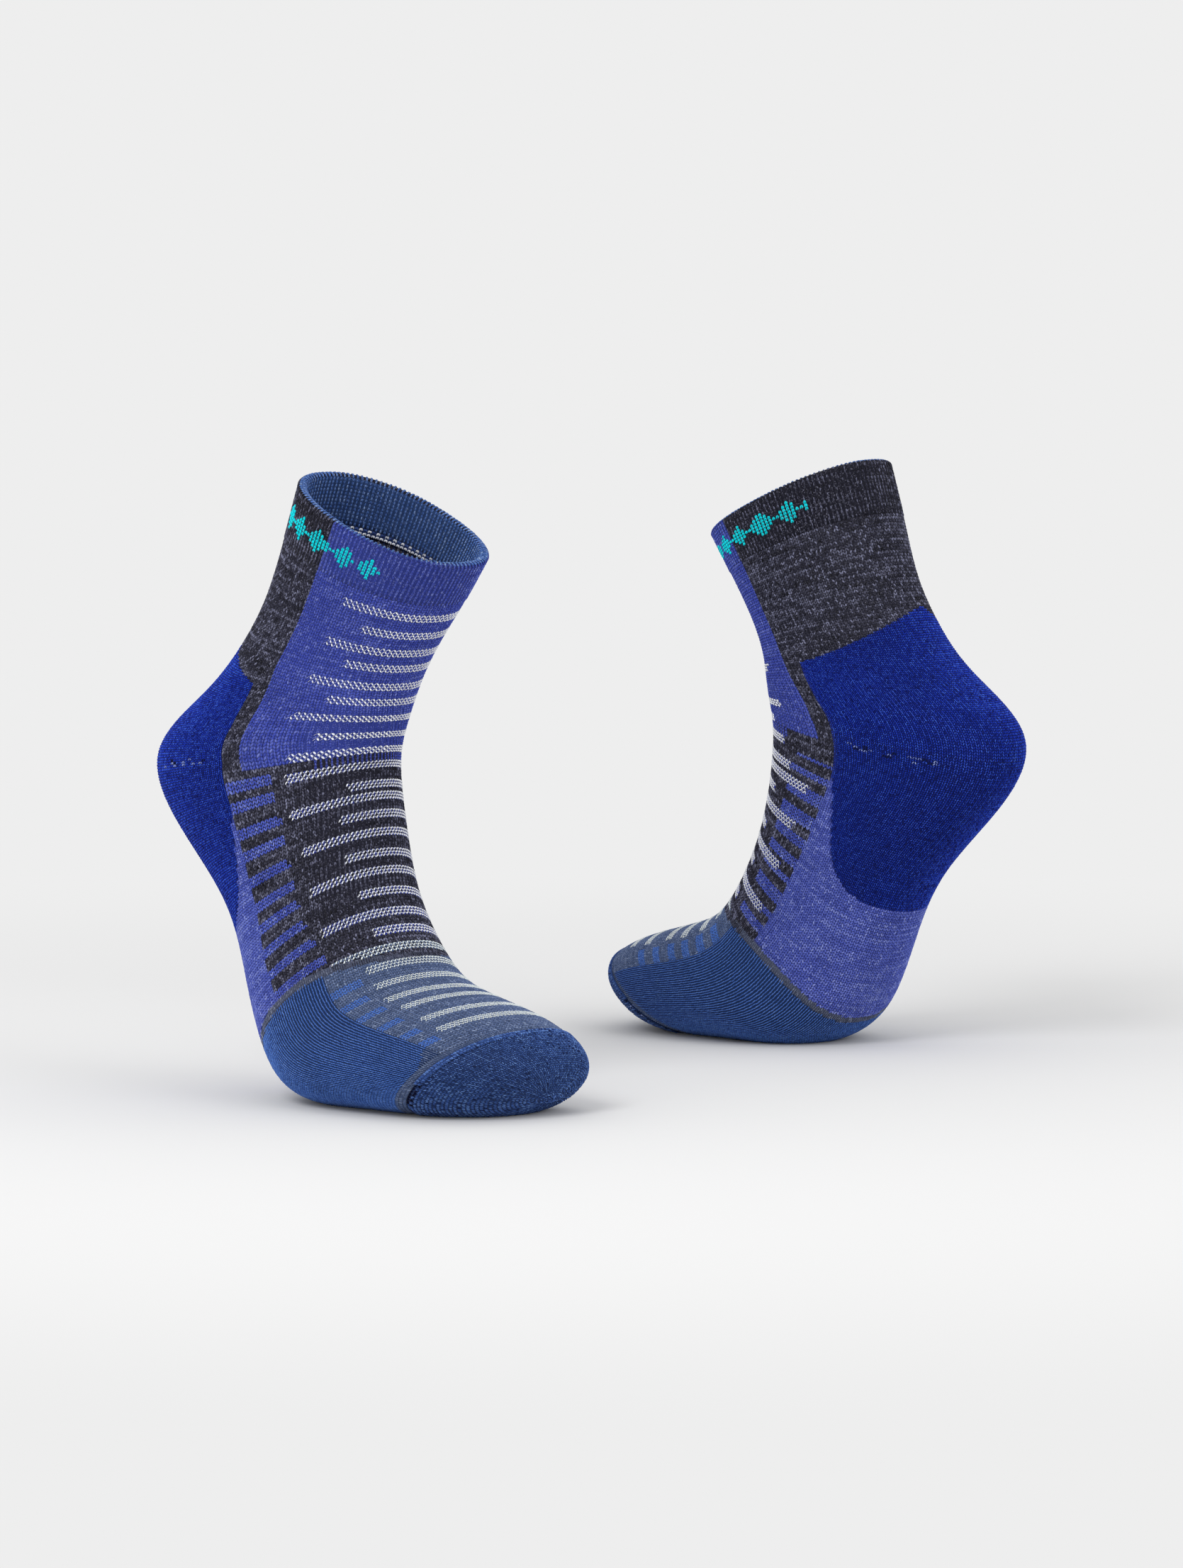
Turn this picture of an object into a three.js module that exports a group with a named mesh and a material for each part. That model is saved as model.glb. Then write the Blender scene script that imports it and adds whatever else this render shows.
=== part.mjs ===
// A pair of knitted ankle socks, worn shape, standing on the balls of the feet.
// Millimetres, +Z up. Each sock is an assembly of its knitted panels, side by side with a small gap.
//
// A sock's surface is a row of closed rings from the cuff mouth (ring 0) to the toe tip (ring 15).
// A place on it is (ring, angle): ring runs down the sock, and angle runs round it in degrees,
// 0 at the front, -90 on the wearer's right, +90 on the wearer's left and 180 at the back or sole.
import * as THREE from 'three';

// ---- driving dimensions -------------------------------------------------------------------

// One row for each ring, in the foot's own frame (x forward, z up, ball of the foot near x = 0):
// [front x, front z, back x, back z, half width, shift of the centre towards the big toe]
const RINGS = [
  [59, 221, -24, 258, 33.5, 7], // cuff mouth
  [46, 203, -33, 232, 32.5, 6],
  [34, 186, -43, 207, 31, 4],
  [26, 171, -57, 186, 31, 2],
  [23, 159, -79, 165, 31.5, 0], // top of the heel
  [21, 149, -108, 138, 32, -1], // ankle crease to the back of the heel
  [19, 136, -94, 106, 31, -1],
  [20, 111, -62, 74, 32, -1], // instep to the end of the heel
  [25, 86, -43, 40, 36, -2],
  [38, 62, -26, 12, 42, -2], // ball of the foot
  [56, 51, -3, -1, 45.5, -3],
  [82, 44, 26, -2, 45, -2],
  [100, 37, 53, -2, 41.5, 0], // start of the toes
  [108, 29, 74, -1.5, 34, 5],
  [109, 20, 90, 1, 22, 10],
  [103, 10, 100, 7, 6, 12.5], // toe tip
];
const ROUNDNESS = 2.25; // exponent of each ring's outline: 2 is an ellipse, more is squarer
const GAP = 0.32; // clearance between neighbouring panels
const COLUMN = 12; // degrees between columns of the faceted panels
const ROW = 0.5; // rings between rows of the faceted panels

const PLAIN = 1.8; // thickness of the plain knit
const TERRY = 3.0; // thickness of the cushioned knit, with its loops inside
const WELT = 1.3; // thickness of each layer of the double cuff
const ELASTIC_DEPTH = 1.62; // from the outside of the cuff to the elastic
const ELASTIC = 0.4;
const ELASTIC_SPAN = [0.06, 0.76]; // rings
const LINING_DEPTH = 2.35; // from the outside of the cuff to its lining
const LINK_ROW_DEPTH = 2.6; // from the outside to the loops that close the hem
const LINK_ROW = 0.9;
const SEAM_HEIGHT = 1.2; // how far the toe seam stands out

// Rings where the knit changes.
const CUFF_END = 0.92;
const LINING_END = 0.8; // the loops that close the hem run from here to the end of the cuff
const CREASE = 5.5; // end of the leg's front panel
const GORE = 5.3; // heel gore line
const HEEL_EDGE_END = 6; // where the heel's rounded lower edge meets its straight sides
const HEEL_CORNER = 3.5; // where the heel's top edge meets its straight sides
const BALL_RING_WIDTH = 0.11;
const TOE_BAND_START = 11.98;
const TOE_START = 12.2;
const TOE_END = 14.9;

// Angles of the panels' side edges, as [ring, angle] points joined by straight lines.
const FRONT_EDGE_RIGHT = [[0, -90], [3, -90], [3.5, -88], [4.5, -84], [5.5, -82]];
const FRONT_EDGE_LEFT = [[0, 64], [2, 64.5], [3, 67], [4, 70], [5, 71], [5.5, 75]];
const HEEL_EDGE_RIGHT = [[3.5, -97], [4.5, -91], [5.3, -90], [6, -92], [7, -98], [8, -96], [8.8, -91]];
const HEEL_EDGE_LEFT = [[3.5, 81], [4.5, 79], [5.3, 81.5], [6, 86], [7, 89], [8, 88], [8.8, 85]];
const FOREFOOT_EDGE_RIGHT = -58;
const FOREFOOT_EDGE_LEFT = 64;
const SEAM_HALF_ANGLE = 92;
const SEAM_SPAN = [12.14, 12.32]; // rings

// Where each sock stands: the ball's place and the direction of its toes.
const SOCKS = [
  { name: 'right', mirror: 1, x: -100.9, y: -102.1, heading: -45 },
  { name: 'left', mirror: -1, x: 98.1, y: 100.8, heading: 139 },
];

const COLOURS = {
  charcoal_heather: 0x3c3b4e,
  violet_heather: 0x49508d,
  royal_blue: 0x18338f,
  instep_charcoal: 0x343244,
  ball_grey: 0x575b75,
  forefoot_grey_blue: 0x586788,
  cushion_steel_blue: 0x32487d,
  toe_steel_blue: 0x384a78,
  lining_blue: 0x2f4a80,
  elastic: 0x20242e,
  loop_white: 0xc9ccd6,
};

// ---- the sock's surface -------------------------------------------------------------------

// Natural cubic spline through values at 0, 1, 2, ...
function spline(values) {
  const last = values.length - 1;
  const bend = new Array(last + 1).fill(0);
  const carry = new Array(last + 1).fill(0);
  for (let i = 1; i < last; i++) {
    carry[i] = 1 / (4 - carry[i - 1]);
    bend[i] = carry[i] * (6 * (values[i + 1] - 2 * values[i] + values[i - 1]) - bend[i - 1]);
  }
  for (let i = last - 1; i > 0; i--) bend[i] -= carry[i] * bend[i + 1];
  return (at) => {
    const i = THREE.MathUtils.clamp(Math.floor(at), 0, last - 1);
    const b = at - i;
    const a = 1 - b;
    const curve = ((a ** 3 - a) * bend[i] + (b ** 3 - b) * bend[i + 1]) / 6;
    return a * values[i] + b * values[i + 1] + curve;
  };
}

const [frontX, frontZ, backX, backZ, halfWidth, shift] = RINGS[0].map((_, column) =>
  spline(RINGS.map((row) => row[column])));

const squared = (value) => Math.sign(value) * Math.abs(value) ** (2 / ROUNDNESS);

// The point on the outside of a sock. The lowest part is pressed flat on the ground.
function surface(sock, ring, angle) {
  const radians = THREE.MathUtils.degToRad(angle);
  const forward = squared(Math.cos(radians));
  const across = squared(Math.sin(radians));
  const midX = (frontX(ring) + backX(ring)) / 2;
  const midZ = (frontZ(ring) + backZ(ring)) / 2;
  const x = midX + (frontX(ring) - midX) * forward;
  const z = midZ + (frontZ(ring) - midZ) * forward;
  const y = sock.mirror * shift(ring) + halfWidth(ring) * across;
  return new THREE.Vector3(x, y, Math.max(z, 0));
}

const STEP = 0.02; // ring and degree step for directions on the surface

function downSlope(sock, ring, angle) {
  const lower = surface(sock, ring + STEP, angle);
  return lower.sub(surface(sock, ring - STEP, angle)).divideScalar(2 * STEP);
}

function roundSlope(sock, ring, angle) {
  const further = surface(sock, ring, angle + 1);
  return further.sub(surface(sock, ring, angle - 1)).divideScalar(2);
}

// The point at a depth below the outside of the sock.
function inside(sock, ring, angle, depth) {
  const normal = downSlope(sock, ring, angle).cross(roundSlope(sock, ring, angle)).normalize();
  const point = surface(sock, ring, angle);
  return point.addScaledVector(normal, -depth);
}

// ---- panels -------------------------------------------------------------------------------

const lerp = THREE.MathUtils.lerp;

// The angle of an edge at a ring, from the edge's points.
function edgeAngle(points, ring) {
  const next = points.findIndex(([at]) => at > ring);
  if (next === 0) return points[0][1];
  if (next < 0) return points[points.length - 1][1];
  const [ring0, angle0] = points[next - 1];
  const [ring1, angle1] = points[next];
  return lerp(angle0, angle1, (ring - ring0) / (ring1 - ring0));
}

const edge = (points, turn = 0) => (ring) => edgeAngle(points, ring) + turn;
const level = (value) => () => value;

const SLIVER = 0.4; // least part of a step that a row or column may be

// The ends of a span and the whole steps between them, without slivers.
function stops(from, to, step) {
  const between = [];
  for (let i = Math.ceil(from / step); i * step < to; i++) {
    const clear = Math.min(i * step - from, to - i * step);
    if (clear > step * SLIVER) between.push(i * step);
  }
  return [from, ...between, to];
}

// Half a gap, measured squarely from a top or bottom edge, in rings.
function edgeInset(sock, edgeRing, angle) {
  const down = downSlope(sock, edgeRing(angle), angle).length();
  const round = roundSlope(sock, edgeRing(angle), angle).length();
  const slant = (edgeRing(angle + 1) - edgeRing(angle - 1)) / 2 * down / round;
  return GAP / 2 * Math.hypot(1, slant) / down;
}

// A panel runs from ring top(angle) to bottom(angle) and from angle start(ring) to end(ring).
// rows gives the rings of its top and bottom at its side edges, where its neighbours' rows match.
// It reaches from depth outer to depth inner below the surface, and closes round if it has no sides.
function panel(sock, { rows, top, bottom, start, end, outer = 0, inner = PLAIN, tip = false }) {
  const closed = !start;
  const [firstRow, lastRow] = rows;
  const rowStops = stops(firstRow, lastRow, ROW);
  const from = closed ? 0 : Math.max(...rowStops.map(start));
  const to = closed ? 360 : Math.min(...rowStops.map(end));
  const columnStops = stops(from, to, COLUMN);
  if (closed) columnStops.pop();
  const topEdge = top ?? level(firstRow);
  const bottomEdge = bottom ?? level(lastRow);

  // A grid point's angle: its column's own, or the panel's side edge less half a gap.
  const angleAt = (row, column) => {
    const inset = GAP / 2 / roundSlope(sock, rowStops[row], columnStops[column]).length();
    if (!closed && column === 0) return start(rowStops[row]) + inset;
    if (!closed && column === columnStops.length - 1) return end(rowStops[row]) - inset;
    return columnStops[column];
  };

  // The place of a grid point, kept half a gap inside the panel's four edges.
  const place = (row, column) => {
    const angle = angleAt(row, column);
    const down = (rowStops[row] - firstRow) / (lastRow - firstRow);
    const onSide = !closed && (column === 0 || column === columnStops.length - 1);
    const ring = onSide ? rowStops[row] : lerp(topEdge(angle), bottomEdge(angle), down);
    if (row === 0) return [ring + edgeInset(sock, topEdge, angle), angle];
    if (row === rowStops.length - 1) return [ring - edgeInset(sock, bottomEdge, angle), angle];
    return [ring, angle];
  };

  const positions = [];
  const addLayer = (depth) => rowStops.map((_, row) => columnStops.map((__, column) => {
    const point = inside(sock, ...place(row, column), depth);
    return positions.push(point.x, point.y, point.z) / 3 - 1;
  }));
  const skin = addLayer(outer);
  const back = addLayer(inner);

  const faces = [];
  const quad = (a, b, c, d) => faces.push(a, b, c, a, c, d);
  const columns = columnStops.length - (closed ? 0 : 1);
  const next = (column) => (column + 1) % columnStops.length;
  const bottomRow = rowStops.length - 1;
  for (let row = 0; row < bottomRow; row++) {
    for (let column = 0; column < columns; column++) {
      const beside = next(column);
      quad(skin[row][column], skin[row + 1][column], skin[row + 1][beside], skin[row][beside]);
      quad(back[row][beside], back[row + 1][beside], back[row + 1][column], back[row][column]);
    }
  }
  for (let column = 0; column < columns; column++) {
    const beside = next(column);
    quad(skin[0][column], skin[0][beside], back[0][beside], back[0][column]);
    if (tip) continue;
    quad(skin[bottomRow][beside], skin[bottomRow][column], back[bottomRow][column], back[bottomRow][beside]);
  }
  if (!closed) {
    const far = columnStops.length - 1;
    for (let row = 0; row < bottomRow; row++) {
      quad(skin[row + 1][0], skin[row][0], back[row][0], back[row + 1][0]);
      quad(skin[row][far], skin[row + 1][far], back[row + 1][far], back[row][far]);
    }
  }
  if (tip) {
    closeTip(positions, faces, skin[bottomRow], false);
    closeTip(positions, faces, back[bottomRow], true);
  }
  return geometryOf(positions, faces);
}

// A fan of triangles over a loop of points, to the loop's middle.
function closeTip(positions, faces, loop, reversed) {
  const middle = new THREE.Vector3();
  for (const index of loop) middle.add(new THREE.Vector3().fromArray(positions, index * 3));
  middle.divideScalar(loop.length);
  const centre = positions.push(middle.x, middle.y, middle.z) / 3 - 1;
  loop.forEach((index, i) => {
    const beside = loop[(i + 1) % loop.length];
    if (reversed) faces.push(index, beside, centre);
    else faces.push(index, centre, beside);
  });
}

function geometryOf(positions, faces) {
  const geometry = new THREE.BufferGeometry();
  geometry.setAttribute('position', new THREE.Float32BufferAttribute(positions, 3));
  geometry.setIndex(faces);
  geometry.computeVertexNormals();
  return geometry;
}

// ---- edges that curve ---------------------------------------------------------------------

const HEEL_LEFT = 81; // where the heel's top corners are
const HEEL_RIGHT = 263;
const HEEL_PEAK = 186;
const HEEL_PEAK_RING = 2.6;
const HEEL_BOTTOM = 177;
const HEEL_BOTTOM_HALF_ANGLE = 91;
const HEEL_BOTTOM_DEPTH = 1.4;
const HEEL_CORNER_POWER = 6;

// The heel's top edge rises from its two corners to a peak at the back.
function heelTop(angle) {
  const corner = angle < HEEL_PEAK ? HEEL_LEFT : HEEL_RIGHT;
  const u = Math.min((angle - HEEL_PEAK) / (corner - HEEL_PEAK), 1);
  return lerp(HEEL_PEAK_RING, HEEL_CORNER, u);
}

// The heel's lower edge is a flat-bottomed curve with round corners.
function heelBottom(angle) {
  const u = Math.min(Math.abs(angle - HEEL_BOTTOM) / HEEL_BOTTOM_HALF_ANGLE, 1);
  return HEEL_EDGE_END + HEEL_BOTTOM_DEPTH * (1 - u ** HEEL_CORNER_POWER);
}

// The ball ring lies a little further down at the front and under the sole than at the sides.
const BALL_RING = 8.81;
const BALL_RING_SWAY = 0.15;
const BALL_RING_TILT = 0.04;
const BALL_RING_SIDE = BALL_RING - BALL_RING_SWAY; // its ring at the two sides of the foot
const FOREFOOT_START = 8.8 + BALL_RING_WIDTH; // the forefoot's first row at its side edges

function ballRing(angle) {
  const radians = THREE.MathUtils.degToRad(angle);
  return BALL_RING + BALL_RING_SWAY * Math.cos(2 * radians) - BALL_RING_TILT * Math.cos(radians);
}

const ballRingEnd = (angle) => ballRing(angle) + BALL_RING_WIDTH;

// ---- the assembly -------------------------------------------------------------------------

const frontRight = edge(FRONT_EDGE_RIGHT);
const frontLeft = edge(FRONT_EDGE_LEFT);
const backLeft = frontLeft;
const backRight = edge(FRONT_EDGE_RIGHT, 360);
const heelLeft = edge(HEEL_EDGE_LEFT);
const heelRight = edge(HEEL_EDGE_RIGHT, 360);
const instepRight = edge(HEEL_EDGE_RIGHT);

function panelsOf(sock) {
  const outerSide = sock.mirror > 0 ? 'outer' : 'inner';
  const innerSide = sock.mirror > 0 ? 'inner' : 'outer';
  return [
    ['cuff_front', 'violet_heather', {
      rows: [0, CUFF_END], start: frontRight, end: frontLeft, inner: WELT,
    }],
    ['cuff_back', 'charcoal_heather', {
      rows: [0, CUFF_END], start: backLeft, end: backRight, inner: WELT,
    }],
    ['cuff_elastic', 'elastic', {
      rows: ELASTIC_SPAN, outer: ELASTIC_DEPTH, inner: ELASTIC_DEPTH + ELASTIC,
    }],
    ['cuff_lining', 'lining_blue', {
      rows: [0, LINING_END], outer: LINING_DEPTH, inner: LINING_DEPTH + WELT,
    }],
    ['cuff_link_row', 'loop_white', {
      rows: [LINING_END, CUFF_END], outer: LINK_ROW_DEPTH, inner: LINK_ROW_DEPTH + LINK_ROW,
    }],
    ['leg_front_panel', 'violet_heather', {
      rows: [CUFF_END, CREASE], start: frontRight, end: frontLeft,
    }],
    ['leg_back_panel', 'charcoal_heather', {
      rows: [CUFF_END, HEEL_CORNER], bottom: heelTop, start: backLeft, end: backRight,
    }],
    [`ankle_strip_${outerSide}`, 'charcoal_heather', {
      rows: [HEEL_CORNER, CREASE], start: edge(HEEL_EDGE_RIGHT), end: frontRight,
    }],
    [`ankle_strip_${innerSide}`, 'charcoal_heather', {
      rows: [HEEL_CORNER, CREASE], start: frontLeft, end: heelLeft,
    }],
    ['heel_upper', 'royal_blue', {
      rows: [HEEL_CORNER, GORE], top: heelTop, start: heelLeft, end: heelRight, inner: TERRY,
    }],
    ['heel_lower', 'royal_blue', {
      rows: [GORE, HEEL_EDGE_END], bottom: heelBottom, start: heelLeft, end: heelRight, inner: TERRY,
    }],
    ['instep_panel', 'instep_charcoal', {
      rows: [CREASE, BALL_RING_SIDE], bottom: ballRing, start: instepRight, end: heelLeft,
    }],
    ['arch_panel', 'violet_heather', {
      rows: [HEEL_EDGE_END, BALL_RING_SIDE], top: heelBottom, bottom: ballRing, start: heelLeft, end: heelRight,
    }],
    ['ball_ring', 'ball_grey', {
      rows: [BALL_RING, BALL_RING + BALL_RING_WIDTH], top: ballRing, bottom: ballRingEnd,
    }],
    ['forefoot_top', 'forefoot_grey_blue', {
      rows: [FOREFOOT_START, TOE_BAND_START],
      top: ballRingEnd,
      start: level(FOREFOOT_EDGE_RIGHT),
      end: level(FOREFOOT_EDGE_LEFT),
    }],
    ['ball_cushion', 'cushion_steel_blue', {
      rows: [FOREFOOT_START, TOE_BAND_START],
      top: ballRingEnd,
      start: level(FOREFOOT_EDGE_LEFT),
      end: level(FOREFOOT_EDGE_RIGHT + 360),
      inner: TERRY,
    }],
    ['toe_band', 'forefoot_grey_blue', { rows: [TOE_BAND_START, TOE_START] }],
    ['toe_cap', 'toe_steel_blue', { rows: [TOE_START, TOE_END], inner: TERRY, tip: true }],
    ['toe_seam', 'toe_steel_blue', {
      rows: SEAM_SPAN,
      start: level(-SEAM_HALF_ANGLE),
      end: level(SEAM_HALF_ANGLE),
      outer: -GAP - SEAM_HEIGHT,
      inner: -GAP,
    }],
  ];
}

const socks = new THREE.Group();
for (const sock of SOCKS) {
  const group = new THREE.Group();
  group.position.set(sock.x, sock.y, 0);
  group.rotation.z = THREE.MathUtils.degToRad(sock.heading);
  for (const [part, colour, shape] of panelsOf(sock)) {
    const material = new THREE.MeshStandardMaterial({ color: COLOURS[colour], roughness: 0.95 });
    const mesh = new THREE.Mesh(panel(sock, shape), material);
    mesh.name = `${sock.name}_${part}`;
    group.add(mesh);
  }
  socks.add(group);
}

export default socks;
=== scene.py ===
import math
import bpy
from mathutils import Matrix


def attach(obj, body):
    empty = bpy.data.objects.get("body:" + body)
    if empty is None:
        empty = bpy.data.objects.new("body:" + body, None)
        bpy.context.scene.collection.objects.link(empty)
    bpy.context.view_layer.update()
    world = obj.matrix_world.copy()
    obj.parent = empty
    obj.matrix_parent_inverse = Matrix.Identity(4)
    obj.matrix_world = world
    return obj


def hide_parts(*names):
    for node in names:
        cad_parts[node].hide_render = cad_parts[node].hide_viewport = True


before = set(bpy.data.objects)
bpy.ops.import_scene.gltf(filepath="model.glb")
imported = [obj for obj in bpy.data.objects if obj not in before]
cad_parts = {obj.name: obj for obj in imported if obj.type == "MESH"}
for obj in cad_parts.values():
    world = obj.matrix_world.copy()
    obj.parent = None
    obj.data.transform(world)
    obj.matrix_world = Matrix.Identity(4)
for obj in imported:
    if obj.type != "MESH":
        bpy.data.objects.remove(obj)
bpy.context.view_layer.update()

# A pair of knitted ankle socks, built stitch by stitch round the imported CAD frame.
# Every panel is a thin shell of cloth with its yarn on it as separate raised stitches.
# A place on a sock is (ring, angle), as in the CAD: ring runs from the cuff mouth, 0, to the toe
# tip, 15, and angle runs round in degrees, 0 at the front and -90 on the wearer's right.
import zlib

import bpy
import numpy as np
from mathutils import Vector

MM = 0.001

# ---- camera -------------------------------------------------------------------------------

CAMERA_PITCH = math.radians(4.51)
CAMERA_TARGET = Vector((-0.0029, -0.0498, 0.1255))
CAMERA_DISTANCE = 2.805

view_direction = Vector((0, math.cos(CAMERA_PITCH), -math.sin(CAMERA_PITCH)))
camera_data = bpy.data.cameras.new("camera")
camera_data.lens = 153.7
camera_data.sensor_width = 36
camera = bpy.data.objects.new("camera", camera_data)
camera.location = CAMERA_TARGET - view_direction * CAMERA_DISTANCE
camera.rotation_euler = view_direction.to_track_quat("-Z", "Y").to_euler()
bpy.context.collection.objects.link(camera)
bpy.context.scene.camera = camera

# ---- the sock's surface -------------------------------------------------------------------

# The CAD's rings: front x, front z, back x, back z, half width and sideways shift, in mm. They are
# rounded from a least-squares fit to the photo's outline, and so are the camera's numbers and the
# socks' places.
RINGS = np.array([
    [59, 221, -24, 258, 33.5, 7],
    [46, 203, -33, 232, 32.5, 6],
    [34, 186, -43, 207, 31, 4],
    [26, 171, -57, 186, 31, 2],
    [23, 159, -79, 165, 31.5, 0],
    [21, 149, -108, 138, 32, -1],
    [19, 136, -94, 106, 31, -1],
    [20, 111, -62, 74, 32, -1],
    [25, 86, -43, 40, 36, -2],
    [38, 62, -26, 12, 42, -2],
    [56, 51, -3, -1, 45.5, -3],
    [82, 44, 26, -2, 45, -2],
    [100, 37, 53, -2, 41.5, 0],
    [108, 29, 74, -1.5, 34, 5],
    [109, 20, 90, 1, 22, 10],
    [103, 10, 100, 7, 6, 12.5],
])
ROUNDNESS = 2.25

# Thicknesses and depths below the outside, in mm.
PLAIN = 1.8
TERRY = 3.0
WELT = 1.3
FOLD_CLOTH = 1.2
ELASTIC_DEPTH = 1.62
ELASTIC = 0.4
LINING_DEPTH = 2.35
LINK_ROW_DEPTH = 2.6
LINK_ROW = 0.9
SEAM_DEPTH = 0.3
SHELL_DEPTH = 0.42  # the cloth under the stitches lies this far below their crests
FLOOR_CLEARANCE = 0.05

# Rings where the knit changes.
CUFF_END = 0.92
LINING_END = 0.8
ELASTIC_SPAN = (0.06, 0.76)
FLOATS_END = 2.6  # the stitches inside the leg are drawn down to here
CREASE = 5.5
GORE = 5.3
HEEL_EDGE_END = 6
HEEL_CORNER = 3.5
HEEL_TOP = 2.6  # the peak of the heel's upper edge
HEEL_DROP = 0.9  # from there to its corners
HEEL_ROUND = 1.4  # how far the heel's lower edge reaches below its ends
BALL_START = 8.8
BALL_LINE = 8.81  # the ball ring's upper edge, as a mean
BALL_LINE_BEND = 0.15  # nearer the toe in front and below by this, and further at the sides
BALL_LINE_TILT = 0.04
BALL_RING_WIDTH = 0.11
INSTEP_END = 8.66
TOE_BAND_START = 11.98
TOE_START = 12.2
TIP = 14.9  # from here the toe closes in a small dome
TIP_END = 16.0
TIP_BULGE = 2.2  # mm
TOE_SUNK = 0.45  # the toe cap's edge lies this deep, mm
TOE_SWELL = 1.25  # and swells by this much
TOE_SWELL_RINGS = 0.14
TOE_THINNING = 2.1  # towards the tip its cloth gets thinner by this much, mm
TOE_THINNING_START = 13.4

FRONT_EDGE_RIGHT = [[0, -90], [3, -90], [3.5, -88], [4.5, -84], [5.5, -82]]
FRONT_EDGE_LEFT = [[0, 64], [2, 64.5], [3, 67], [4, 70], [5, 71], [5.5, 75]]
HEEL_EDGE_RIGHT = [[3.5, -97], [4.5, -91], [5.3, -90], [6, -92], [7, -98], [8, -96], [8.8, -91]]
HEEL_EDGE_LEFT = [[3.5, 81], [4.5, 79], [5.3, 81.5], [6, 86], [7, 89], [8, 88], [8.8, 85]]
HEEL_LEFT, HEEL_PEAK, HEEL_RIGHT = 81, 186, 263
HEEL_MIDDLE, HEEL_HALF_WIDTH = 177, 91  # of its lower edge
FOREFOOT_EDGE_RIGHT = -58
FOREFOOT_EDGE_LEFT = 64
SEAM_HALF_ANGLE = 92

# The fold over the cuff's mouth: its ring, its two depths and how far it rises, in mm.
FOLD_RING = 0.06
FOLD_OUTSIDE = -0.25
FOLD_INSIDE = 3.65
FOLD_RISE = 1.4
FOLD_LINED = 0.8  # the share of the fold, from the inside, in the lining's colour

RING_STEP = 0.02  # over which a slope is measured


def spline(values):
    """A natural cubic spline through values at 0, 1, 2, ..."""
    count = len(values)
    matrix = np.eye(count)
    right = np.zeros(count)
    for i in range(1, count - 1):
        matrix[i, i - 1:i + 2] = 1, 4, 1
        right[i] = 6 * (values[i + 1] - 2 * values[i] + values[i - 1])
    bend = np.linalg.solve(matrix, right)

    def at(ring):
        i = np.clip(np.floor(ring), 0, count - 2).astype(int)
        b = ring - i
        a = 1 - b
        curve = ((a ** 3 - a) * bend[i] + (b ** 3 - b) * bend[i + 1]) / 6
        return a * values[i] + b * values[i + 1] + curve
    return at


FRONT_X, FRONT_Z, BACK_X, BACK_Z, HALF_WIDTH, SHIFT = (spline(column) for column in RINGS.T)


def unit(vector):
    return vector / np.maximum(np.linalg.norm(vector, axis=-1, keepdims=True), 1e-9)


def smooth(value, start, end):
    """From 0 at start to 1 at end, easing in and out."""
    share = np.clip((value - start) / (end - start), 0, 1)
    return share * share * (3 - 2 * share)


def squared(value):
    return np.sign(value) * np.abs(value) ** (2 / ROUNDNESS)


class Surface:
    """A surface given by point(ring, angle), in mm, which faces outwards."""

    def slopes(self, ring, angle):
        """How the point moves per ring and per degree."""
        down = self.point(ring + RING_STEP, angle) - self.point(ring - RING_STEP, angle)
        round_ = (self.point(ring, angle + 1) - self.point(ring, angle - 1)) / 2
        return down / (2 * RING_STEP), round_

    def normal(self, ring, angle):
        return unit(np.cross(*self.slopes(ring, angle)))

    def inside(self, ring, angle, depth):
        """The point at a depth below the surface, never under the floor."""
        point = self.point(ring, angle) - self.normal(ring, angle) * np.asarray(depth)[..., None]
        point[..., 2] = np.maximum(point[..., 2], FLOOR_CLEARANCE)
        return point


class Sock(Surface):
    """One sock's outside, and its place."""

    def __init__(self, name, mirror, x, y, heading):
        self.name = name
        self.body = f"{name}_sock"
        self.mirror = mirror
        self.place = np.array([x, y, 0.0])
        turn = math.radians(heading)
        self.turn = np.array([
            [math.cos(turn), math.sin(turn), 0],
            [-math.sin(turn), math.cos(turn), 0],
            [0, 0, 1],
        ])

    def middle(self, ring):
        x = (FRONT_X(ring) + BACK_X(ring)) / 2
        z = (FRONT_Z(ring) + BACK_Z(ring)) / 2
        return np.stack([x, self.mirror * SHIFT(ring), z], axis=-1)

    def point(self, ring, angle):
        ring, angle = np.broadcast_arrays(np.asarray(ring, float), np.radians(angle))
        on_ring = np.minimum(ring, TIP)
        middle = self.middle(on_ring)
        forward = squared(np.cos(angle))
        across = squared(np.sin(angle))
        x = middle[..., 0] + (FRONT_X(on_ring) - middle[..., 0]) * forward
        z = middle[..., 2] + (FRONT_Z(on_ring) - middle[..., 2]) * forward
        y = middle[..., 1] + HALF_WIDTH(on_ring) * across
        open_point = np.stack([x, y, np.maximum(z, 0)], axis=-1)
        closing = np.clip((ring - TIP) / (TIP_END - TIP), 0, 1)[..., None]
        ahead = unit(self.middle(np.array(TIP)) - self.middle(np.array(TIP - 0.5)))
        dome = TIP_BULGE * np.sqrt(1 - (1 - closing) ** 2)
        closed = open_point + (middle - open_point) * closing + ahead * dome
        return closed @ self.turn + self.place


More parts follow.
